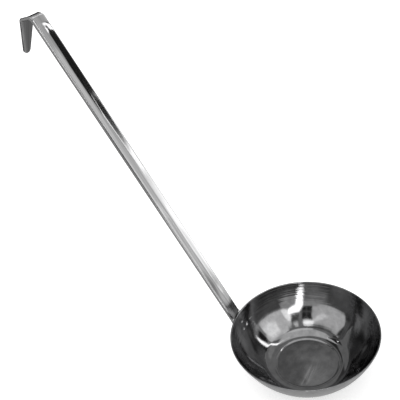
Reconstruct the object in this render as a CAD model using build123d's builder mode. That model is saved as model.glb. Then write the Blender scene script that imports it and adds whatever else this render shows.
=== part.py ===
"""Soup ladle: a pressed sheet bowl and a creased strip handle with a hooked end, spot-welded together.

The origin is the centre of the flat underside of the bowl, +Z is the bowl's axis towards its mouth, and
the handle leans out towards -X. All lengths are millimetres and all turns are degrees.
"""

import math
import os

from build123d import *

os.makedirs("parts", exist_ok=True)

# Bowl
rim_diameter = 115.0
bowl_height = 36.5
rim_lean = 19.5
bowl_sheet = 1.0
base_share = 0.421
knuckle_share = 0.126
step_radius = 1.5
step_turn = 35.0
rim_rounding = 0.35

# Handle strip
strip_width = 12.9
strip_thickness = 2.8
strip_rounding = 0.7
handle_lean = 24.1
shank_length = 273.6
foot_length = 16.0
foot_bend_radius = 25.0
foot_rounding = 4.0

# Crease along the shank, placed by its distance above the rim
crease_depth = 0.9
crease_width = 3.6
crease_foot_start = 10.0
crease_foot_full = 30.0
crease_hook_margin = 2.0
crease_hook_fade = 6.0

# Hook at the top of the handle
crown_length = 11.3
crown_radius = 6.0
crown_fall = 6.9
turndown_radius = 3.5
tongue_length = 27.9
tongue_lean = 24.0
tongue_tip_width = 5.8
tongue_tip_rounding = 2.7

# Spot welds between the foot of the handle and the bowl
weld_diameter = 3.6
weld_bite = 0.4
weld_spacing = 6.6
upper_weld_drop = 6.4
lower_weld_drop = 11.7
weld_dimple_radius = 9.0
weld_dimple_depth = 0.15

# The bowl's wall is drawn this far past the rim before it is trimmed level
overrun = 1.0

rim_radius = rim_diameter / 2
base_radius = base_share * rim_radius
knuckle_radius = knuckle_share * rim_diameter
half_width = strip_width / 2
handle_plane = Plane(origin=(0, 0, 0), x_dir=(-1, 0, 0), z_dir=(0, 1, 0))


def lean_vector(degrees):
    """Give the upward direction that leans out from the bowl's axis by an angle, as (radius, height)."""
    return Vector(math.sin(math.radians(degrees)), math.cos(math.radians(degrees)))


def draw_outer_wall():
    """Draw the outside of the bowl from the axis to the rim, as (radius, height), and give the wall's arc."""
    floor = Line((0, 0), (base_radius, 0))
    step_rise = JernArc(start=floor @ 1, tangent=floor % 1, radius=step_radius, arc_size=step_turn)
    step_level = JernArc(start=step_rise @ 1, tangent=step_rise % 1, radius=step_radius, arc_size=-step_turn)
    # The wall's arc meets the rim at its lean and touches the knuckle's arc, which gives its radius
    knuckle_centre = step_level @ 1 + Vector(0, knuckle_radius)
    reach = Vector(rim_radius, bowl_height) - knuckle_centre
    inward = lean_vector(rim_lean - 90)
    wall_radius = (reach.dot(reach) - knuckle_radius**2) / -(reach.dot(inward) + knuckle_radius) / 2
    to_knuckle = -(reach + inward * wall_radius)
    knuckle_turn = math.degrees(math.atan2(to_knuckle.X, -to_knuckle.Y))
    knuckle = JernArc(step_level @ 1, step_level % 1, radius=knuckle_radius, arc_size=knuckle_turn)
    return JernArc(knuckle @ 1, knuckle % 1, radius=wall_radius, arc_size=90 - rim_lean - knuckle_turn)


with BuildLine():
    wall_arc = draw_outer_wall()

rim_point = wall_arc @ 1
saddle_depth = rim_radius - math.sqrt(rim_radius**2 - half_width**2)


def draw_foot_bend():
    """Draw the bend from the bowl's wall into the shank, as (radius, height)."""
    return JernArc(rim_point, wall_arc % 1, radius=foot_bend_radius, arc_size=rim_lean - handle_lean)


with BuildLine():
    shank_start = draw_foot_bend() @ 1

shank_direction = lean_vector(handle_lean)
crown_start = shank_start + shank_direction * shank_length
crown_direction = lean_vector(90 + crown_fall)
crown_end = crown_start + crown_direction * crown_length
tongue_direction = lean_vector(180 - tongue_lean)
crown_turn = 90 - handle_lean + crown_fall
turndown_turn = 90 - tongue_lean - crown_fall
crown_tangent = crown_radius * math.tan(math.radians(crown_turn) / 2)
turndown_tangent = turndown_radius * math.tan(math.radians(turndown_turn) / 2)
tongue_start = crown_end + tongue_direction * turndown_tangent
crease_end = shank_length - crown_tangent - crease_hook_margin
tongue_plane = Plane(
    origin=handle_plane.from_local_coords(tongue_start),
    x_dir=(0, 1, 0),
    z_dir=handle_plane.from_local_coords(lean_vector(90 - tongue_lean)),
)


def meridian_point(drop):
    """Find the point of the outer wall that lies a given length of wall below the rim."""
    return wall_arc @ (1 - drop / wall_arc.length)


def shank_plane(distance):
    """Place a cross-section plane on the shank: local X across the strip, local Y towards its back."""
    centre = handle_plane.from_local_coords(shank_start + shank_direction * distance)
    along = handle_plane.from_local_coords(shank_direction)
    return Plane(origin=centre, x_dir=(0, 1, 0), z_dir=along)


def strip_section(distance, depth):
    """Sketch the strip's section at a distance above the rim, with its middle pressed back by a depth."""
    crease_half = crease_width / 2
    corner_in = half_width - strip_rounding
    tilt = depth / half_width
    shoulder = tilt * (half_width - crease_half)
    with BuildSketch(shank_plane(distance)) as section:
        with BuildLine():
            for side in (-1, 1):
                edge = side * half_width
                Line((edge, strip_rounding), (edge, strip_thickness - strip_rounding))
                for face, way in ((0, -1), (strip_thickness, 1)):
                    corner = TangentArc(
                        (edge, face - way * strip_rounding),
                        (side * corner_in, face + tilt * strip_rounding),
                        tangent=(0, way),
                    )
                    Line(corner @ 1, (side * crease_half, face + shoulder))
            for face in (0, strip_thickness):
                Bezier((-crease_half, face + shoulder), (0, face + depth), (crease_half, face + shoulder))
        make_face()
    return section.sketch


def draw_neck():
    """Draw the inner side of the strip from the rim to the start of the crease, as (radius, height)."""
    draw_foot_bend()
    Line(shank_start, shank_start + shank_direction * crease_foot_start)


def draw_hook():
    """Draw the outer side of the hook from the end of the crease to the tongue, as (radius, height)."""
    crease_top = shank_start + shank_direction * crease_end
    shank_top = Line(crease_top, crown_start - shank_direction * crown_tangent)
    crown_bend = JernArc(shank_top @ 1, shank_top % 1, crown_radius, -crown_turn)
    crown = Line(crown_bend @ 1, crown_end - crown_direction * turndown_tangent)
    JernArc(crown @ 1, crown % 1, turndown_radius, -turndown_turn)


def bend_strip(draw_path):
    """Extrude the strip along a path in the handle's plane and round its four long edges."""
    with BuildPart() as block:
        with BuildSketch(handle_plane):
            with BuildLine():
                draw_path()
                offset(amount=strip_thickness, side=Side.RIGHT)
            make_face()
        extrude(amount=half_width, both=True)
        side_edges = block.faces().filter_by(Axis.Y).edges()
        long_edges = side_edges.filter_by(lambda edge: edge.length > strip_thickness + strip_rounding)
        fillet(long_edges, radius=strip_rounding)
    return block.part


def wall_normal(drop):
    """Find the direction out of the bowl's wall a given length of wall below the rim, as (radius, height)."""
    along = wall_arc % (1 - drop / wall_arc.length)
    return Vector(along.Y, -along.X)


def weld_plane(drop, across):
    """Place a plane on the bowl's outer wall with its normal pointing out of the bowl."""
    point = meridian_point(drop)
    turn = math.asin(across / point.X)
    outward = Vector(-math.cos(turn), math.sin(turn), 0)
    aside = Vector(math.sin(turn), math.cos(turn), 0)
    meridian_plane = Plane(origin=(0, 0, 0), x_dir=outward, z_dir=aside)
    normal = meridian_plane.from_local_coords(wall_normal(drop))
    return Plane(origin=meridian_plane.from_local_coords(point), x_dir=aside, z_dir=normal)


weld_places = [
    (upper_weld_drop, 0),
    (lower_weld_drop, -weld_spacing / 2),
    (lower_weld_drop, weld_spacing / 2),
]
dimple_reach = weld_dimple_radius - weld_dimple_depth

# Solid of the bowl's outer shape, which the foot of the handle is seated on
with BuildPart() as bowl_blank:
    with BuildSketch(Plane.XZ):
        with BuildLine():
            rim_arc = draw_outer_wall()
            Polyline(rim_arc @ 1, (0, bowl_height), (0, 0))
        make_face()
    revolve(axis=Axis.Z)

# Spot welds: lens-shaped nuggets half in the bowl's wall and half in the handle's foot
with BuildPart() as spot_welds:
    for drop, across in weld_places:
        wall_plane = weld_plane(drop, across)
        with BuildSketch(Plane(wall_plane.origin, x_dir=wall_plane.x_dir, z_dir=wall_plane.y_dir)):
            with BuildLine():
                TangentArc((0, -weld_bite), (weld_diameter / 2, 0), tangent=(1, 0))
                TangentArc((0, weld_bite), (weld_diameter / 2, 0), tangent=(1, 0))
                Line((0, weld_bite), (0, -weld_bite))
            make_face()
        revolve(axis=Axis(wall_plane.origin, wall_plane.z_dir))
spot_welds.part.label = "spot_welds"

# Bowl: one sheet from the flat base to the rim, with a stepped ring round the base
with BuildPart() as bowl:
    with BuildSketch(Plane.XZ) as bowl_section:
        with BuildLine():
            rim_arc = draw_outer_wall()
            Line(rim_arc @ 1, rim_arc @ 1 + rim_arc % 1 * overrun)
            offset(amount=bowl_sheet, side=Side.LEFT)
        make_face()
        with Locations((rim_radius, bowl_height)):
            Rectangle(rim_radius, rim_radius, align=(Align.CENTER, Align.MIN), mode=Mode.SUBTRACT)
        fillet(bowl_section.vertices().group_by(Axis.Y)[-1], radius=rim_rounding)
    revolve(axis=Axis.Z)
    for drop, across in weld_places:
        wall_plane = weld_plane(drop, across)
        with Locations(wall_plane.origin - wall_plane.z_dir * (bowl_sheet + dimple_reach)):
            Sphere(weld_dimple_radius, mode=Mode.SUBTRACT)
    for weld in spot_welds.solids():
        add(weld, mode=Mode.SUBTRACT)
bowl.part.label = "bowl"

# Foot of the handle: the strip curved down the outside of the bowl and pressed to its round wall
with BuildPart() as foot:
    with BuildSketch(handle_plane):
        with BuildLine():
            ThreePointArc(meridian_point(foot_length), meridian_point(foot_length / 2), rim_point)
            offset(amount=strip_thickness, side=Side.RIGHT)
        make_face()
        with BuildLine():
            foot_end = meridian_point(foot_length)
            ThreePointArc(foot_end, meridian_point(foot_length / 2), meridian_point(rim_rounding))
            offset(amount=saddle_depth, side=Side.LEFT)
        make_face()
    extrude(amount=half_width, both=True)
    fillet(foot.faces().sort_by(Axis.Z)[0].edges().sort_by(SortBy.LENGTH)[:2], radius=foot_rounding)
    fillet(foot.edges().filter_by(GeomType.CIRCLE).sort_by(SortBy.LENGTH)[-2:], radius=strip_rounding)

# Straight shank of the handle, creased along its middle
with BuildPart() as shank:
    loft(
        sections=[
            strip_section(crease_foot_start, 0),
            strip_section(crease_foot_full, crease_depth),
            strip_section(crease_end - crease_hook_fade, crease_depth),
            strip_section(crease_end, 0),
        ],
        ruled=True,
    )

# Tongue of the hook: the tapered end of the strip, hanging from the turndown
with BuildPart() as tongue:
    with BuildSketch(tongue_plane):
        with BuildLine():
            Polyline(
                (-half_width, 0),
                (-tongue_tip_width / 2, tongue_length - turndown_tangent),
                (tongue_tip_width / 2, tongue_length - turndown_tangent),
                (half_width, 0),
                close=True,
            )
        tongue_outline = make_face()
        fillet(tongue_outline.vertices().sort_by(Axis.Z)[:2], radius=tongue_tip_rounding)
    extrude(amount=-strip_thickness)
    tongue_root = tongue.faces().sort_by(Axis.Z)[-1]
    fillet(tongue.faces().filter_by(tongue_plane).edges() - tongue_root.edges(), radius=strip_rounding)

# Handle: foot, neck, shank, hook and tongue are one strip
with BuildPart() as handle:
    add(foot.part)
    add(bend_strip(draw_neck))
    add(shank.part)
    add(bend_strip(draw_hook))
    add(tongue.part)
    add(bowl_blank.part, mode=Mode.SUBTRACT)
    for drop, across in weld_places:
        back_point = meridian_point(drop) + wall_normal(drop) * (strip_thickness + dimple_reach)
        with Locations(handle_plane.from_local_coords(back_point) + Vector(0, across, 0)):
            Sphere(weld_dimple_radius, mode=Mode.SUBTRACT)
    for weld in spot_welds.solids():
        add(weld, mode=Mode.SUBTRACT)
handle.part.label = "handle"

for piece in (bowl, handle, spot_welds):
    export_step(piece.part, f"parts/{piece.part.label}.step")
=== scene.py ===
import math

import bpy
import numpy as np
from mathutils import Matrix, Vector


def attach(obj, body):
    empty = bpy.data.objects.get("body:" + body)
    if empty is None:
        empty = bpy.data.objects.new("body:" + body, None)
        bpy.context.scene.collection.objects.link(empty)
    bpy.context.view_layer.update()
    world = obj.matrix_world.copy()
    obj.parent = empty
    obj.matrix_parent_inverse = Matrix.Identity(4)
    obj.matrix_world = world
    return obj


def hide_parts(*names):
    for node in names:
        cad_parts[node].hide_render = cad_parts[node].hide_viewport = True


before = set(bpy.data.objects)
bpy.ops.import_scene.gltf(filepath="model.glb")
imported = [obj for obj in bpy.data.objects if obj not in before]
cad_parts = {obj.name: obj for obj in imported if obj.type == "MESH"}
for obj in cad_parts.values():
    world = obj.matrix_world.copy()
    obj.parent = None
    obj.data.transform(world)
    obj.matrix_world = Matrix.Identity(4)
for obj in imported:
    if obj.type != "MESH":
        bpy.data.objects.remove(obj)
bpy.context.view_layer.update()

MM = 0.001

# Sizes of the bowl, in millimetres and radians, as in the construction
RIM_R = 57.5
BOWL_H = 36.5
RIM_LEAN = math.radians(19.5)
SHEET = 1.0
BASE_R = 0.421 * RIM_R
KNUCKLE_R = 0.126 * 2 * RIM_R
STEP_R = 1.5
STEP_TURN = math.radians(35)
LIP_R = 0.35

# Sizes of the strip, its foot, crease, crown and tongue
HALF_W = 6.45
THICK = 2.8
EDGE_R = 0.8           # edges of the back
EDGE_IN = 1.1          # edges of the bowl side
FOOT_IN = 0.12         # the same on the foot, which lies on the bowl
LEAN = math.radians(24.1)
SHANK = 273.6
FOOT = 16.0
FOOT_CORNER_R = 4.0
FOOT_BEND_R = 25.0
FOOT_CLEAR = 0.02      # keeps the foot's face off the bowl's
CREASE = 0.9
CREASE_HALF = 1.8      # half width of its rounded bottom
CREASE_START = (8, 32)
CREASE_TOP = 2.0
CREASE_FADE = 6.0
CREASE_LAST = 1.0      # how far past its top the crease fades out
CROWN = 11.3
CROWN_R = 6.0
CROWN_FALL = math.radians(6.9)
TURN_R = 3.5
TONGUE = 27.9
TONGUE_LEAN = math.radians(24)
TONGUE_DISH = 0.28
DISH_START = 5.0       # lengths over which the dish sets in and ends
DISH_END = 4.0
BACK_DISH = 0.6        # share of the dish that shows on the back
TIP_HALF = 2.9
TIP_R = 2.7
TIP_SHARE = 0.97       # share of the tip's rounding that is taken off the half width

CROWN_TURN = math.pi / 2 - LEAN + CROWN_FALL
TONGUE_TURN = math.pi / 2 - TONGUE_LEAN - CROWN_FALL
CROWN_CUT = CROWN_R * math.tan(CROWN_TURN / 2)
TONGUE_CUT = TURN_R * math.tan(TONGUE_TURN / 2)

# Welds: distance below the rim and across, and the round marks of the welding tip
WELDS = ((6.4, 0.0), (11.7, -3.3), (11.7, 3.3))
BOWL_DENT_R = 2.0
FOOT_DENT_R = 1.9
DENT = 0.17
DENT_RING = 0.035
RING_AT = 1.12         # in dent radii, as is its width
RING_WIDTH = 0.16

# How finely the bowl is divided, in its section and round it beside the foot and elsewhere
PROFILE_STEP = 0.45
BASE_POINTS = 40
LIP_POINTS = 7
FINE_ANGLE = math.radians(11)
FINE_POINTS = 97
REST_POINTS = 420

# How finely the strip is divided, along its zones and round its section
END_STEPS = np.array([0.0, 0.04, 0.12, 0.25, 0.4, 0.55])
FOOT_POINTS = 46
NECK_POINTS = 7
SHANK_POINTS = 270
CROWN_POINTS = 29
TOP_POINTS = 9
TURN_POINTS = 21
TONGUE_POINTS = 50
FLAT_POINTS = 13
CORNER_POINTS = 6
SIDE_POINTS = 4
LEAST_EDGE = 0.05      # radius of the thinnest edge
WIDTH_SHARE = 0.8      # largest radius of an edge, as a share of half the width
THICK_SHARE = 0.45     # and of the thickness
UV_LENGTH = 0.35       # metres of strip to one unit of its UV map


def link(name, data):
    obj = bpy.data.objects.new(name, data)
    bpy.context.scene.collection.objects.link(obj)
    return obj


def smoothstep(a, b, x):
    t = min(1.0, max(0.0, (x - a) / (b - a)))
    return t * t * (3 - 2 * t)


def round_off(radius, e):
    """How far a rounded corner stands back at a distance e from the end."""
    return radius - math.sqrt(radius ** 2 - (radius - e) ** 2) if e < radius else 0.0


def grid_faces(n_rows, n_across, closed=True):
    """Faces between rows of points; each row is a ring unless closed is False."""
    faces = []
    for i in range(n_rows - 1):
        here, there = i * n_across, (i + 1) * n_across
        for j in range(n_across if closed else n_across - 1):
            k = (j + 1) % n_across
            faces.append((here + j, here + k, there + k, there + j))
    return faces


def smooth_mesh(name, points, faces):
    """A mesh with smooth shading from points in millimetres."""
    mesh = bpy.data.meshes.new(name)
    mesh.from_pydata((points * MM).tolist(), [], faces)
    mesh.update()
    mesh.polygons.foreach_set("use_smooth", [True] * len(mesh.polygons))
    return mesh


# The bowl's outer side: its arcs as (radius, height), from the flat base to the rim
step_end = (BASE_R + 2 * STEP_R * math.sin(STEP_TURN), 2 * STEP_R * (1 - math.cos(STEP_TURN)))
knuckle_c = (step_end[0], step_end[1] + KNUCKLE_R)
reach = (RIM_R - knuckle_c[0], BOWL_H - knuckle_c[1])
inward = (-math.cos(RIM_LEAN), math.sin(RIM_LEAN))
WALL_R = (reach[0] ** 2 + reach[1] ** 2 - KNUCKLE_R ** 2) / -(
    reach[0] * inward[0] + reach[1] * inward[1] + KNUCKLE_R) / 2
wall_c = (RIM_R + inward[0] * WALL_R, BOWL_H + inward[1] * WALL_R)
KNUCKLE_TURN = math.atan2(knuckle_c[0] - wall_c[0], wall_c[1] - knuckle_c[1])
RIM_TURN = math.pi / 2 - RIM_LEAN

# The lip: where its rounding starts, the radius of the sheet's inner side at the rim, corner
# and end of the outer curve, and start and corner of the inner one
LIP_START = BOWL_H - LIP_R * 1.2
INNER_RIM_R = RIM_R - SHEET / math.cos(RIM_LEAN)
LIP_OUTSIDE = ((RIM_R - 0.06, BOWL_H), (RIM_R - 0.45, BOWL_H))
LIP_INSIDE = ((INNER_RIM_R + 0.25, BOWL_H), (INNER_RIM_R - 0.02, BOWL_H))


def wall_point(drop):
    """Point and outward normal (radius, height) at a length of wall below the rim."""
    turn = RIM_TURN - drop / WALL_R
    normal = (math.sin(turn), -math.cos(turn))
    return (wall_c[0] + WALL_R * normal[0], wall_c[1] + WALL_R * normal[1]), normal


def outer_profile():
    """Outer side from the axis to the rim: (radius, height, normal radius, normal height)."""
    out = [(r, 0.0, 0.0, -1.0) for r in np.linspace(0, BASE_R, BASE_POINTS)[:-1]]

    def arc(centre, radius, t0, t1, sign):
        count = max(3, int(abs(t1 - t0) * radius / PROFILE_STEP))
        for t in np.linspace(t0, t1, count + 1)[:-1]:
            n = (math.sin(t), -math.cos(t))
            out.append((centre[0] + sign * radius * n[0], centre[1] + sign * radius * n[1],
                        n[0], n[1]))

    arc((BASE_R, STEP_R), STEP_R, 0, STEP_TURN, 1)
    arc((step_end[0], step_end[1] - STEP_R), STEP_R, STEP_TURN, 0, -1)
    arc(knuckle_c, KNUCKLE_R, 0, KNUCKLE_TURN, 1)
    arc(wall_c, WALL_R, KNUCKLE_TURN, RIM_TURN, 1)
    out.append((RIM_R, BOWL_H, math.sin(RIM_TURN), -math.cos(RIM_TURN)))
    return out


def curve(t, start, corner, end):
    """Place at t on the curve that leaves start towards corner and comes from there to end."""
    return tuple((1 - t) ** 2 * a + 2 * t * (1 - t) * c + t * t * b
                 for a, c, b in zip(start, corner, end))


def bowl_profile():
    """Closed section of the sheet, up its outer side and down its inner side to the axis, and
    the number of points before the inner side."""
    outer = outer_profile()
    outside = [(r, z) for r, z, _, _ in outer if z < LIP_START]
    inside = [(r - n0 * SHEET, z - n1 * SHEET) for r, z, n0, n1 in outer]
    inside = [(r, z) for r, z in inside if z < LIP_START]
    steps = np.linspace(0, 1, LIP_POINTS)
    lip = [curve(t, outside[-1], *LIP_OUTSIDE) for t in steps[1:]]
    lip += [curve(t, *LIP_INSIDE, inside[-1]) for t in steps[:-1]]
    return outside + lip + inside[::-1], len(outside) + len(lip)


def bowl_angles():
    """Angles round the bowl: fine beside the handle's foot, even elsewhere."""
    near = np.linspace(-FINE_ANGLE, FINE_ANGLE, FINE_POINTS)
    rest = np.linspace(FINE_ANGLE, 2 * math.pi - FINE_ANGLE, REST_POINTS)[1:-1]
    return np.concatenate([near, rest]) + math.pi


def weld_dents(co, inside):
    """Press the marks of the welding tip into the bowl's inside, or else into the foot's back."""
    out = co.copy()
    for drop, across in WELDS:
        (r, z), n = wall_point(drop)
        turn = math.asin(across / r) if inside else 0.0
        axis = np.array([-n[0] * math.cos(turn), n[0] * math.sin(turn), n[1]])
        if inside:
            base = np.array([-r * math.cos(turn), r * math.sin(turn), z]) - axis * SHEET
            push, radius = 1.0, BOWL_DENT_R
        else:
            base = np.array([-r, across, z]) + axis * THICK
            push, radius = -1.0, FOOT_DENT_R
        q = np.clip(np.linalg.norm(co - base, axis=1) / radius, 0, 2.2)
        pit = DENT * np.clip(1 - q ** 2, 0, 1)
        ring = DENT_RING * np.exp(-((q - RING_AT) / RING_WIDTH) ** 2)
        out += (push * (pit - ring))[:, None] * axis
    return out


def build_bowl():
    profile, first_inner = bowl_profile()
    angles = bowl_angles()
    across = len(angles)
    ca, sa = np.cos(angles), np.sin(angles)
    rings = profile[1:-1]
    points = np.concatenate([np.stack([r * ca, r * sa, np.full(across, z)], 1) for r, z in rings])
    inner = (first_inner - 1) * across
    points[inner:] = weld_dents(points[inner:], True)
    bottom, top = len(points), len(points) + 1
    points = np.vstack([points, [[0, 0, profile[0][1]]], [[0, 0, profile[-1][1]]]])
    faces = grid_faces(len(rings), across)
    last = (len(rings) - 1) * across
    for j in range(across):
        k = (j + 1) % across
        faces.append((bottom, k, j))
        faces.append((top, last + j, last + k))
    return link("bowl_shell", smooth_mesh("bowl_shell", points, faces))


def strip_stations():
    """Stations along the strip's bowl side: point and back normal (radius, height), distance
    along the strip, and where each one is in its zone."""
    stations = []
    s = 0.0

    def put(p, back, along, zone, **more):
        stations.append(dict(p=p, b=back, s=along, zone=zone, **more))

    def bend(back, radius, lean, turn, count, zone):
        nonlocal s
        p = stations[-1]["p"]
        centre = (p[0] + radius * back[0], p[1] + radius * back[1])
        for t in np.linspace(0, 1, count)[1:]:
            a = lean + turn * t
            n = (math.cos(a), -math.sin(a))
            put((centre[0] - radius * n[0], centre[1] - radius * n[1]), n,
                s + radius * turn * t, zone, d=radius * turn * t)
        s += radius * turn

    def straight(along, back, places, zone):
        nonlocal s
        p, length = stations[-1]["p"], places[-1]
        for d in places:
            put((p[0] + along[0] * d, p[1] + along[1] * d), back, s + d, zone,
                d=d, end=length - d)
        s += length

    for e in np.concatenate([END_STEPS, np.linspace(0.8, FOOT, FOOT_POINTS)]):
        p, n = wall_point(FOOT - e)
        put(p, n, e, "foot", end=e)
    s = FOOT
    bend(n, FOOT_BEND_R, RIM_LEAN, LEAN - RIM_LEAN, NECK_POINTS, "neck")
    back = (math.cos(LEAN), -math.sin(LEAN))
    straight((math.sin(LEAN), math.cos(LEAN)), back,
             np.linspace(0, SHANK - CROWN_CUT, SHANK_POINTS)[1:], "shank")
    bend(back, CROWN_R, LEAN, CROWN_TURN, CROWN_POINTS, "crown")
    out = (math.cos(CROWN_FALL), -math.sin(CROWN_FALL))
    back = (out[1], -out[0])
    top = CROWN - CROWN_CUT - TONGUE_CUT
    straight(out, back, np.linspace(0, top, TOP_POINTS)[1:], "crown")
    bend(back, TURN_R, math.pi / 2 + CROWN_FALL, TONGUE_TURN, TURN_POINTS, "crown")
    length = TONGUE - TONGUE_CUT
    places = np.linspace(0, length - 0.6, TONGUE_POINTS)[1:]
    straight((math.sin(TONGUE_LEAN), -math.cos(TONGUE_LEAN)), stations[-1]["b"],
             np.concatenate([places, length - END_STEPS[::-1]]), "tongue")
    return stations


def section_shape(sta):
    """Half width, crease depth, inset by the rounded end, edge radii and dish of a station."""
    half, crease, inset, dish = HALF_W, 0.0, 0.0, 0.0
    r_in = EDGE_IN
    if sta["zone"] == "foot":
        half -= round_off(FOOT_CORNER_R, sta["end"])
        inset = round_off(EDGE_R, sta["end"])
        r_in = FOOT_IN
    elif sta["zone"] == "neck":
        bend = FOOT_BEND_R * (LEAN - RIM_LEAN)
        r_in = FOOT_IN + (EDGE_IN - FOOT_IN) * smoothstep(0, bend, sta["d"])
    elif sta["zone"] == "shank":
        d = sta["d"]
        top = SHANK - CROWN_CUT - CREASE_TOP
        crease = (CREASE * smoothstep(*CREASE_START, d)
                  * (1 - smoothstep(top - CREASE_FADE, top + CREASE_LAST, d)))
    elif sta["zone"] == "tongue":
        d, e = sta["d"], sta["end"]
        half = HALF_W + (TIP_HALF - HALF_W) * d / (d + e)
        half -= round_off(TIP_R, e) * TIP_SHARE
        inset = round_off(EDGE_R, e)
        dish = TONGUE_DISH * smoothstep(0, DISH_START, d) * smoothstep(0, DISH_END, e)
    return half, crease, inset, r_in, EDGE_R, dish


def section_points(half, thick, r_in, r_out):
    """Outline of the strip's section as (across, through), from the middle of the bowl side."""
    points = []
    r_in = min(r_in, half * WIDTH_SHARE, thick * THICK_SHARE)
    r_out = min(r_out, half * WIDTH_SHARE, thick * THICK_SHARE)

    def run(y0, y1, x, n):
        for k in range(n):
            points.append((y0 + (y1 - y0) * k / n, x))

    def corner(cy, cx, r, a0):
        for k in range(CORNER_POINTS):
            a = a0 + math.pi / 2 * k / CORNER_POINTS
            points.append((cy + r * math.cos(a), cx + r * math.sin(a)))

    side = thick - r_in - r_out
    run(0, half - r_in, 0, FLAT_POINTS)
    corner(half - r_in, r_in, r_in, -math.pi / 2)
    for k in range(SIDE_POINTS):
        points.append((half, r_in + side * k / SIDE_POINTS))
    corner(half - r_out, thick - r_out, r_out, 0)
    run(half - r_out, -(half - r_out), thick, 2 * FLAT_POINTS)
    corner(-(half - r_out), thick - r_out, r_out, math.pi / 2)
    for k in range(SIDE_POINTS):
        points.append((-half, thick - r_out - side * k / SIDE_POINTS))
    corner(-(half - r_in), r_in, r_in, math.pi)
    run(-(half - r_in), 0, 0, FLAT_POINTS)
    return points


def crease_shift(y, depth):
    """How far the crease, a V with a rounded bottom, moves the section at y."""
    a, tilt = abs(y), depth / HALF_W
    if a < CREASE_HALF:
        k = a / CREASE_HALF
        return tilt * (HALF_W - CREASE_HALF) + tilt * CREASE_HALF * (1 - k * k) / 2
    return tilt * (HALF_W - a)


def strip_row(sta):
    """The points of one station in millimetres, with their places across and along the strip."""
    half, crease, inset, r_in, r_out, dish = section_shape(sta)
    on_tongue = sta["zone"] == "tongue"
    base = inset if on_tongue else 0.0
    thick = THICK - 2 * inset if on_tongue else THICK - inset
    half -= inset
    r_in, r_out = max(LEAST_EDGE, r_in - inset), max(LEAST_EDGE, r_out - inset)
    row, places = [], []
    for y, x in section_points(half, thick, r_in, r_out):
        x += base
        x += crease_shift(y, crease)
        share = 1 if x < thick / 2 + base else BACK_DISH
        x += dish * max(0.0, 1 - (y / half) ** 2) * share
        r, z = sta["p"][0] + sta["b"][0] * x, sta["p"][1] + sta["b"][1] * x
        if sta["zone"] == "foot" and x < THICK * 0.5:
            # the bowl side of the foot lies on the round wall
            share = 1 - x / (THICK * 0.5)
            r = r + (math.sqrt(max(0.0, r * r - y * y)) - r) * share + FOOT_CLEAR
        row.append((-r, y, z))
        places.append((y, sta["s"], 0.0))
    return row, places


def build_strip():
    stations = strip_stations()
    rows, places = zip(*(strip_row(sta) for sta in stations))
    n = len(rows[0])
    points = np.concatenate(rows)
    # dents of the welding tip on the back of the foot
    back = [x > THICK * 0.7 for _, x in section_points(HALF_W, THICK, FOOT_IN, EDGE_R)]
    foot_rows = sum(sta["zone"] == "foot" for sta in stations)
    dented = np.tile(np.array(back), foot_rows)
    foot = points[:foot_rows * n]
    foot[dented] = weld_dents(foot[dented], False)
    faces = [(a, d, c, b) for a, b, c, d in grid_faces(len(rows), n)]
    last = (len(rows) - 1) * n
    faces.append(tuple(range(n)))
    faces.append(tuple(last + j for j in reversed(range(n))))
    mesh = smooth_mesh("handle_strip", points, faces)
    place = (np.concatenate(places) * MM).astype(np.float32)
    mesh.attributes.new("strip_place", "FLOAT_VECTOR", "POINT").data.foreach_set(
        "vector", place.ravel())
    uv = mesh.uv_layers.new(name="strip")
    loops = np.zeros(len(mesh.loops), np.int32)
    mesh.loops.foreach_get("vertex_index", loops)
    uvs = np.stack([place[loops, 1] / UV_LENGTH, 0.5 + place[loops, 0] / UV_LENGTH], 1)
    uv.data.foreach_set("uv", uvs.astype(np.float32).ravel())
    return link("handle_strip", mesh)


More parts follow.
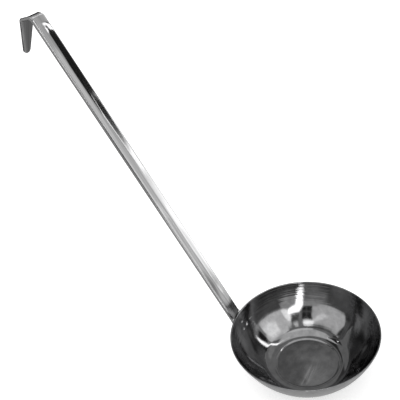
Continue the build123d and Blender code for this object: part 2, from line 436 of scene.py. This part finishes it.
class Nodes:
    """A small helper that adds nodes to a material or world and links them."""

    def __init__(self, owner):
        owner.use_nodes = True
        self.tree = owner.node_tree
        self.tree.nodes.clear()

    def add(self, kind, settings=None, **inputs):
        """A node; an input is named i and its number, or by its name with __ for a space."""
        node = self.tree.nodes.new(kind)
        for key, value in (settings or {}).items():
            setattr(node, key, value)
        for key, value in inputs.items():
            numbered = key[0] == "i" and key[1:].isdigit()
            socket = node.inputs[int(key[1:]) if numbered else key.replace("__", " ")]
            if isinstance(value, bpy.types.NodeSocket):
                self.tree.links.new(value, socket)
            else:
                socket.default_value = value
        return node

    def math(self, op, a, b=0.0):
        return self.add("ShaderNodeMath", {"operation": op}, i0=a, i1=b).outputs[0]

    def ramp(self, fac, stops):
        node = self.add("ShaderNodeValToRGB", i0=fac)
        el = node.color_ramp.elements
        while len(el) > 1:
            el.remove(el[-1])
        for k, (pos, val) in enumerate(stops):
            e = el[0] if k == 0 else el.new(pos)
            e.position = pos
            e.color = (val, val, val, 1) if isinstance(val, (int, float)) else val
        return node.outputs[0]

    def noise(self, place, scale, detail, rough=0.5):
        return self.add("ShaderNodeTexNoise", Vector=place, Scale=scale, Detail=detail,
                        Roughness=rough).outputs[0]

    def stretched(self, place, scale, turn=0.0):
        return self.add("ShaderNodeMapping", Vector=place, Rotation=(0.0, 0.0, turn),
                        Scale=scale).outputs[0]

    def spread(self, value, old, new, kind="LINEAR"):
        """The value moved from the range old to the range new, and held at its ends."""
        return self.add("ShaderNodeMapRange", {"interpolation_type": kind}, Value=value,
                        i1=old[0], i2=old[1], i3=new[0], i4=new[1]).outputs[0]

    def mix(self, kind, share, below, above):
        return self.add("ShaderNodeMix", {"data_type": "RGBA", "blend_type": kind}, i0=share,
                        i6=below, i7=above).outputs[2]

    def bump(self, strength, distance, height, **normal):
        return self.add("ShaderNodeBump", Strength=strength, Distance=distance, Height=height,
                        **normal).outputs[0]

    def metal(self, tone, rough, normal, **more):
        surface = self.add("ShaderNodeBsdfPrincipled", Metallic=1.0, Base__Color=tone,
                           Roughness=rough, Normal=normal, **more)
        self.add("ShaderNodeOutputMaterial", Surface=surface.outputs[0])


def bowl_material():
    mat = bpy.data.materials.new("polished_steel")
    n = Nodes(mat)
    place = n.add("ShaderNodeTexCoord").outputs["Object"]
    x, y, z = n.add("ShaderNodeSeparateXYZ", i0=place).outputs
    r = n.math("SQRT", n.math("ADD", n.math("MULTIPLY", x, x), n.math("MULTIPLY", y, y)))
    # turned rings
    ring_place = n.add("ShaderNodeCombineXYZ", i0=r, i1=z, i2=0.0).outputs[0]
    rings = n.noise(ring_place, scale=2600.0, detail=2.0, rough=0.6)
    # soft waviness of the pressed sheet
    wave = n.noise(place, scale=70.0, detail=1.0, rough=0.4)
    smudge = n.noise(place, scale=160.0, detail=4.0, rough=0.6)
    rough = n.spread(smudge, (0.3, 0.7), (0.045, 0.085))
    tone = n.ramp(smudge, [(0.3, (0.40, 0.40, 0.405, 1)), (0.7, (0.54, 0.54, 0.545, 1))])
    # scouring marks on the flat bottom, most of them in one streak across it
    scour = n.noise(n.stretched(place, (420.0, 36.0, 1.0), 0.1), scale=1.0, detail=3.0, rough=0.6)
    streak_slope, streak_x = -0.10, 0.0065
    slanted = n.math("ADD", x, n.math("MULTIPLY", y, streak_slope))
    off = n.math("ABSOLUTE", n.math("SUBTRACT", slanted, streak_x))
    streak = n.spread(off, (0.001, 0.0042), (1.0, 0.0), "SMOOTHSTEP")
    south = n.spread(y, (-0.008, 0.006), (1.0, 0.15), "SMOOTHSTEP")
    flat = n.spread(r, (0.0215, 0.0235), (1.0, 0.0))
    marks = n.spread(scour, (0.38, 0.66), (0.0, 1.0))
    share = n.math("ADD", 0.10, n.math("MULTIPLY", n.math("MULTIPLY", streak, south), 0.9))
    marks = n.math("MULTIPLY", n.math("MULTIPLY", marks, share), flat)
    lift = n.add("ShaderNodeCombineXYZ", i0=marks, i1=marks, i2=marks).outputs[0]
    tone = n.mix("ADD", 0.30, tone, lift)
    # broader turning marks on the upper wall
    warp = n.math("MULTIPLY", n.noise(place, scale=25.0, detail=1.0), 0.0022)
    height = n.math("ADD", z, warp)
    turn_place = n.add("ShaderNodeCombineXYZ", i0=0.0, i1=0.0, i2=height).outputs[0]
    turned = n.noise(turn_place, scale=520.0, detail=2.0, rough=0.55)
    turned = n.math("MULTIPLY", turned, n.spread(z, (0.016, 0.027), (0.0, 1.0), "SMOOTHSTEP"))
    bump = n.bump(1.0, 0.00016, turned)
    bump = n.bump(0.06, 0.0002, rings, Normal=bump)
    bump = n.bump(0.25, 0.0006, wave, Normal=bump)
    n.metal(tone, rough, bump)
    return mat


def strip_material():
    mat = bpy.data.materials.new("brushed_strip")
    n = Nodes(mat)
    place = n.add("ShaderNodeAttribute", {"attribute_name": "strip_place"}).outputs["Vector"]
    lines = n.noise(n.stretched(place, (2200.0, 22.0, 1.0)), scale=1.0, detail=3.0, rough=0.65)
    blotch = n.noise(place, scale=120.0, detail=3.0, rough=0.6)
    rough = n.spread(blotch, (0.3, 0.7), (0.07, 0.11))
    # painted highlight and shade: the colour is lighter in bands near the edges, standing in for
    # the edge highlight, and darker along the crease
    across = n.math("ABSOLUTE", n.add("ShaderNodeSeparateXYZ", i0=place).outputs[0])
    painted_highlight_and_shade = n.ramp(n.math("MULTIPLY", across, 150.0), [
        (0.05, 0.86), (0.35, 0.96), (0.62, 1.0), (0.72, 1.22), (0.85, 1.16), (0.95, 1.0)])
    streaks = n.noise(n.stretched(place, (900.0, 7.0, 1.0)), scale=1.0, detail=2.0)
    grain = n.math("ADD", n.math("MULTIPLY", lines, 0.5), n.math("MULTIPLY", streaks, 0.5))
    base = n.ramp(grain, [(0.34, (0.36, 0.36, 0.365, 1)), (0.66, (0.62, 0.62, 0.62, 1))])
    bump = n.bump(0.04, 0.00005, lines)
    bump = n.bump(0.03, 0.0003, blotch, Normal=bump)
    tangent = n.add("ShaderNodeTangent", {"direction_type": "UV_MAP", "uv_map": "strip"})
    # the brushed colour times the painted highlight and shade across the strip
    n.metal(n.mix("MULTIPLY", 1.0, base, painted_highlight_and_shade), rough, bump, Anisotropic=0.3,
            Tangent=tangent.outputs[0])
    return mat


def weld_material():
    mat = bpy.data.materials.new("fused_steel")
    n = Nodes(mat)
    grain = n.noise(n.add("ShaderNodeTexCoord").outputs["Object"], scale=2500.0, detail=4.0,
                    rough=0.6)
    tone = n.ramp(grain, [(0.3, (0.3, 0.29, 0.28, 1)), (0.7, (0.5, 0.49, 0.47, 1))])
    n.metal(tone, 0.45, n.bump(0.3, 0.0001, grain))
    return mat


# The object
bowl = build_bowl()
bowl.data.materials.append(bowl_material())
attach(bowl, "root")
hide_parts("bowl")

strip = build_strip()
strip.data.materials.append(strip_material())
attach(strip, "root")
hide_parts("handle")

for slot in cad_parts["spot_welds"].material_slots:
    slot.material = weld_material()


# The studio: floor, room, floor sheet and cards for the reflections, world and camera
FLOOR_HALF = 4         # metres, as are all lengths in the studio
CEILING = 0.62         # level of the room where no outline is laid over it
FLOOR_LEVEL = 0.42     # the same of the floor sheet
ROOM_R = 20.0
SHEET_GAP = 0.0004     # from the floor up to the floor sheet
ROOM_BOTTOM = -12      # degrees, as are all angles in the studio
ROOM_FINE = 66         # below this the room is as finely divided as the cards
GRID = 0.75
CARD_MARGIN = 4        # round a card's outline for its soft edge
FADE_FROM = 2.0        # where the floor sheet starts to fade, and over what length
FADE_OVER = 1.5
FLOOR_GLOW = 0.5       # added where the floor is seen
LATER_LOSS = 0.68      # share of the light that is lost in second and later reflections

# The room that the metal shows: outlines by azimuth and elevation in degrees, each with the
# level of its light and the softness of its edge; a "line" also has half its width
ROOM = [
    ("area", 0.20, 5, 0, [(384, -12), (384, 62), (545, 62), (545, -12)]),
    ("area", 0.30, 6, 0, [(398, 40), (402, 47), (412, 54), (425, 57), (440, 57), (445, 46),
                          (420, 38)]),
    ("area", 0.22, 4, 0, [(175, 40), (175, 62), (262, 62), (270, 55.5), (345, 55.5), (345, 40)]),
    ("area", 0.20, 4, 0, [(175, 16), (175, 48), (196, 48), (196, 16)]),
    ("area", 0.66, 2, 0, [(206, 14), (209, 33), (215, 37.5), (235, 42.5), (255, 46), (270, 49),
                          (272, 45), (271, 27), (262, 23), (245, 19.5), (225, 16.5), (214, 14)]),
    ("area", 1.1, 4, 0, [(240, 31), (250, 38), (265, 45), (270, 48), (270, 43), (262, 37),
                         (250, 31)]),
    ("area", 0.80, 3, 0, [(329, 24), (324, 34), (318, 44), (326, 49), (350, 52), (375, 48),
                          (386, 38), (386, 26), (388, 15), (372, 15.5), (355, 19.5),
                          (342, 22.5)]),
    ("area", 1.25, 8, 0, [(350, 30), (352, 42), (370, 42), (378, 34), (378, 22), (366, 22)]),
    ("area", 0.30, 3, 0, [(376, 14), (379, 27), (390, 28), (390, 14)]),
    ("area", 0.10, 2, 0, [(175, -12), (175, 6), (203, 9), (213, 14), (228, 17), (250, 20.5),
                          (270, 23.5), (300, 24.5), (330, 23.2), (350, 19.5), (370, 14.5),
                          (384, 11.5), (384, -12)]),
    ("area", 0.20, 6, 0, [(250, 0), (250, 18), (275, 20), (290, 20), (290, 0)]),
    ("area", 0.42, 3, 0, [(300, 13), (300, 26), (320, 28), (328, 24), (328, 16), (315, 12)]),
    ("area", 0.36, 3, 0, [(250, 18), (268, 26.5), (290, 26.5), (290, 19), (270, 17)]),
    ("line", 0.10, 2.5, 2.0, [(206, 38), (215, 42), (235, 47), (255, 50.5), (270, 53),
                              (290, 54)]),
    ("line", 0.20, 3, 2.5, [(290, 54), (310, 54), (330, 50)]),
    ("area", 0.05, 2, 0, [(193, 8), (196, 20), (199, 31), (204, 36), (209, 35), (207, 22),
                          (216, 14), (209, 6), (200, 4)]),
    ("area", 0.26, 2, 0, [(292, 27), (292, 50), (304, 52), (304, 33)]),
    ("area", 1.8, 1.5, 0, [(268, 44.5), (270, 48.5), (280, 49.5), (291, 49.5), (291, 45),
                           (285, 44.5), (274, 44.5)]),
    ("area", 0.025, 1.2, 0, [(272, 26), (274.5, 43.5), (293, 43.5), (292, 27.5)]),
    ("line", 0.16, 0.8, 0.6, [(283.5, 28), (284.2, 43)]),
    ("line", 0.16, 0.8, 0.6, [(273, 34.8), (292, 35)]),
    ("area", 0.10, 2, 0, [(299, 34), (302, 44), (318, 43.5), (313, 35)]),
    ("area", 1.0, 2, 0, [(304, 45.5), (306, 50), (312, 49.5), (316, 45.5)]),
    ("area", 1.5, 1.8, 0, [(315, 33), (319, 42), (323, 40.5), (328, 33), (330, 26), (324, 25),
                           (318, 30)]),
    ("area", 3.0, 1.5, 0, [(286, 7), (290, 26), (293, 31), (299, 34.5), (312, 34), (320, 32.5),
                           (316, 28), (308, 26), (302, 25.5), (299, 18), (295, 10), (291, 5.5)]),
    ("line", 0.03, 3, 5, [(482, 50), (490, 56), (500, 59), (520, 61), (545, 58)]),
    ("line", 0.04, 3, 6, [(175, 57), (185, 52), (200, 46)]),
    ("area", 0.05, 4, 0, [(484, 20), (484, 42), (492, 40), (497, 20)]),
    ("area", 0.02, 2.5, 0, [(383, 14), (384, 29), (406, 30), (410, 26), (408, 14)]),
    ("area", 0.55, 5, 0, [(380, 9), (380, 14.5), (400, 16), (400, 10)]),
    ("area", 1.7, 3, 0, [(380, -2), (380, 10), (400, 11), (400, -2)]),
    ("area", 0.6, 3, 0, [(380, -9), (380, -3), (400, -3), (400, -9)]),
    ("area", 0.13, 1.5, 0, [(473.8, 44), (473.8, 53), (481, 53), (481, 44)]),
    ("area", 0.28, 1.5, 0, [(470.6, 48.2), (470.6, 53), (473.8, 53), (473.8, 48.2)]),
    ("area", 0.11, 1.5, 0, [(469, 44.5), (469, 47), (474, 47), (474, 44.5)]),
    ("area", 2.2, 2, 0, [(285, -12), (285, -2), (350, -2), (350, -12)]),
    ("area", 0.03, 3, 0, [(530, 44), (530, 58), (545, 60), (545, 42)]),
    ("area", 0.03, 3, 0, [(175, 42), (175, 60), (188, 58), (192, 44)]),
    ("area", 0.8, 3, 0, [(262, 57), (262, 70), (345, 70), (345, 57)]),
    ("area", 0.9, 3, 0, [(398, -12), (398, 12), (411, 15), (413, 23), (440, 24), (436, -12)]),
]

# The floor sheet: outlines in metres, with level and softness as above
FLOOR_SHEET = [
    ("area", 0.9, 0.15, 0, [(0.42, 0.15), (2.8, 1.0), (0.5, 3.0), (0.08, 0.50)]),
    ("area", 2.3, 0.15, 0, [(0.15, -0.55), (0.75, -2.8), (2.9, -0.5), (0.6, -0.1)]),
    ("area", 0.22, 0.1, 0, [(-0.30, 0.22), (0.12, 0.22), (0.12, 0.50), (-0.30, 0.50)]),
    ("area", 0.13, 0.1, 0, [(-0.34, -0.04), (-0.95, -0.25), (-0.95, -0.65), (-0.38, -0.27)]),
]

# Cards near the ladle: the point they are seen from, how far off, level, softness, half width
# of a line, and the outline by azimuth and elevation
BOWL_WALL = (-0.040, 0, 0.012)
HOOK_FAR = (-0.1662, 0.0035, 0.2791)
HOOK = (-0.170, 0, 0.287)
NEAR_CARDS = [
    ("bowl_cord", "line", BOWL_WALL, 0.3, 2.4, 1.5, 1.8,
     [(394, 10), (397, 20), (395, 28), (393, 35), (396, 42), (402, 48), (410, 54), (418, 57),
      (426, 58.5)]),
    ("bowl_cord_end", "line", BOWL_WALL, 0.3, 1.6, 2.0, 2.2,
     [(421, 59.5), (422, 61.5), (424, 64), (423, 66)]),
    ("hook_white", "area", HOOK_FAR, 0.025, 2.8, 2.0, 0,
     [(390.5, 18.5), (390.5, 26.5), (396, 25), (399, 20.5), (401, 19), (401, 13), (397.5, 12),
      (394, 15.5)]),
    ("hook_grey", "area", HOOK, 0.15, 0.66, 4.0, 0,
     [(403, 6), (402, 26), (400, 36), (400, 58), (472, 58), (472, 28), (436, 22), (430, 6)]),
    ("hook_top", "area", (-0.180, 0, 0.287), 0.05, 2.6, 4.0, 0,
     [(484, -10), (486, 15), (508, 15), (508, -10)]),
    ("hook_stripe", "area", HOOK, 0.14, 3.0, 2.0, 0,
     [(444, 38), (442, 56), (446, 56), (447, 38)]),
]


def floor_material():
    """White floor that keeps the ladle's shadow."""
    mat = bpy.data.materials.new("floor_white")
    n = Nodes(mat)
    grain = n.noise(n.add("ShaderNodeTexCoord").outputs["Object"], scale=9.0, detail=3.0)
    tone = n.ramp(grain, [(0.3, 0.9), (0.7, 0.93)])
    diffuse = n.add("ShaderNodeBsdfDiffuse", Color=tone)
    path = n.add("ShaderNodeLightPath").outputs
    seen = n.math("MAXIMUM", path["Is Camera Ray"], path["Is Glossy Ray"])
    seen = n.math("MAXIMUM", seen, path["Is Transmission Ray"])
    glow = n.add("ShaderNodeEmission", Color=(1, 1, 1, 1),
                 Strength=n.math("MULTIPLY", seen, FLOOR_GLOW))
    both = n.add("ShaderNodeAddShader", i0=diffuse.outputs[0], i1=glow.outputs[0])
    n.add("ShaderNodeOutputMaterial", Surface=both.outputs[0])
    return mat


def glow_material(name):
    """Light by the sheet's own level and cover, at a lower level in second reflections."""
    mat = bpy.data.materials.new(name)
    n = Nodes(mat)
    level = n.add("ShaderNodeAttribute", {"attribute_name": "level"}).outputs["Fac"]
    cover = n.add("ShaderNodeAttribute", {"attribute_name": "cover"}).outputs["Fac"]
    clear = n.add("ShaderNodeBsdfTransparent")
    again = n.math("GREATER_THAN", n.add("ShaderNodeLightPath").outputs["Ray Depth"], 1.5)
    kept = n.math("SUBTRACT", 1.0, n.math("MULTIPLY", again, LATER_LOSS))
    glow = n.add("ShaderNodeEmission", Color=(1, 1, 1, 1), Strength=n.math("MULTIPLY", level, kept))
    mix = n.add("ShaderNodeMixShader", i0=cover, i1=clear.outputs[0], i2=glow.outputs[0])
    n.add("ShaderNodeOutputMaterial", Surface=mix.outputs[0])
    return mat


def edge_distance(px, py, a, b):
    dx, dy = b[0] - a[0], b[1] - a[1]
    t = np.clip(((px - a[0]) * dx + (py - a[1]) * dy) / (dx * dx + dy * dy), 0, 1)
    return np.hypot(px - a[0] - t * dx, py - a[1] - t * dy)


def within(px, py, outline):
    result = np.zeros(px.shape, bool)
    for (x0, y0), (x1, y1) in zip(outline, outline[1:] + outline[:1]):
        if y0 != y1:
            result ^= ((y0 > py) != (y1 > py)) & (px < (x1 - x0) * (py - y0) / (y1 - y0) + x0)
    return result


def laid_over(levels, px, py, rows):
    """The levels at the given places once each row's outline is laid over them in turn."""
    for kind, strength, soft, half, outline in rows:
        ends = outline[1:] + (outline[:1] if kind == "area" else [])
        gap = np.min([edge_distance(px, py, a, b) for a, b in zip(outline, ends)], axis=0)
        if kind == "area":
            depth = np.where(within(px, py, outline), gap, -gap)
        else:
            depth = half - gap
        t = np.clip(depth / soft + 0.5, 0, 1)
        share = t * t * (3 - 2 * t)
        levels = levels * (1 - share) + strength * share
    return levels


def directions(azimuths, elevations):
    """A grid of directions as azimuths, elevations and unit vectors."""
    az, el = (v.ravel() for v in np.meshgrid(azimuths, elevations))
    ar, er = np.radians(az), np.radians(el)
    return az, el, np.stack([np.cos(er) * np.cos(ar), np.cos(er) * np.sin(ar), np.sin(er)], 1)


def reflected_sheet(name, verts, levels, cover, n_across, closed=True):
    """A sheet of rows of n_across points that only reflections show."""
    mesh = bpy.data.meshes.new(name)
    mesh.from_pydata(verts.tolist(), [], grid_faces(len(verts) // n_across, n_across, closed))
    for key, values in (("level", levels), ("cover", cover)):
        mesh.attributes.new(key, "FLOAT", "POINT").data.foreach_set("value", values.tolist())
    mesh.materials.append(glow_material(name))
    obj = link(name, mesh)
    obj.visible_camera = False
    obj.visible_diffuse = False
    obj.visible_shadow = False


def build_floor():
    corners = [(-FLOOR_HALF, -FLOOR_HALF, 0), (FLOOR_HALF, -FLOOR_HALF, 0),
               (FLOOR_HALF, FLOOR_HALF, 0), (-FLOOR_HALF, FLOOR_HALF, 0)]
    mesh = bpy.data.meshes.new("floor")
    mesh.from_pydata(corners, [], [(0, 1, 2, 3)])
    mesh.materials.append(floor_material())
    return link("floor", mesh)


def build_room():
    azimuths = np.arange(180, 540, GRID)
    elevations = np.concatenate([np.arange(ROOM_BOTTOM, ROOM_FINE, GRID),
                                 np.linspace(ROOM_FINE, 89.9, 12)])
    az, el, rays = directions(azimuths, elevations)
    levels = laid_over(np.full(az.shape, CEILING), az, el, ROOM)
    reflected_sheet("room", ROOM_R * rays, levels, np.ones(len(az)), len(azimuths))


def build_floor_sheet():
    """A grey sheet close over the floor, with a hole round the bowl's base and a faded rim."""
    radii = np.concatenate([np.linspace(0.03, 0.6, 58), np.linspace(0.65, 3.6, 60)])
    turns = np.radians(np.arange(0, 360, 3))
    rr, tt = np.meshgrid(radii, turns, indexing="ij")
    x, y = (rr * np.cos(tt)).ravel(), (rr * np.sin(tt)).ravel()
    levels = laid_over(np.full(x.shape, FLOOR_LEVEL), x, y, FLOOR_SHEET)
    far = np.hypot(x, y)
    cover = np.where(far < FADE_FROM, 1.0, 1 - np.clip((far - FADE_FROM) / FADE_OVER, 0, 1))
    verts = np.stack([x, y, np.full(len(x), SHEET_GAP)], 1)
    reflected_sheet("floor_sheet", verts, levels, cover, len(turns))


def near_card(name, kind, origin, dist, strength, soft, half, outline):
    across, up = zip(*outline)
    azimuths = np.arange(min(across) - CARD_MARGIN, max(across) + CARD_MARGIN, GRID)
    elevations = np.arange(min(up) - CARD_MARGIN, max(up) + CARD_MARGIN, GRID)
    az, el, rays = directions(azimuths, elevations)
    cover = laid_over(np.zeros(az.shape), az, el, [(kind, 1.0, soft, half, outline)])
    reflected_sheet(name, np.array(origin) + dist * rays, np.full(len(az), strength), cover,
                    len(azimuths), closed=False)


floor = build_floor()
build_room()
build_floor_sheet()
for card in NEAR_CARDS:
    near_card(*card)

# The world lights the ladle evenly, and its reflections show the room instead
world = bpy.data.worlds.new("studio")
bpy.context.scene.world = world
sky = Nodes(world)
back = sky.add("ShaderNodeBackground", Color=(1, 1, 1, 1), Strength=1.0)
sky.add("ShaderNodeOutputWorld", Surface=back.outputs[0])
world.cycles_visibility.glossy = False

bpy.context.scene.view_settings.view_transform = "Standard"

# The camera, as fitted to the photograph
cam_data = bpy.data.cameras.new("camera")
cam_data.sensor_width = 36.0
cam_data.lens = 51.0165
cam_data.clip_start = 0.01
cam_data.clip_end = 50.0
position = Vector((0.126156, -0.296595, 0.360756))
right = Vector((0.87513, 0.45100, -0.17531))
down = Vector((0.10628, -0.53262, -0.83966))
ahead = Vector((-0.47205, 0.71619, -0.51404))
pose = Matrix.Identity(4)
for k in range(3):
    pose[k][0], pose[k][1], pose[k][2], pose[k][3] = right[k], -down[k], -ahead[k], position[k]
cam = link("camera", cam_data)
cam.matrix_world = pose
bpy.context.scene.camera = cam
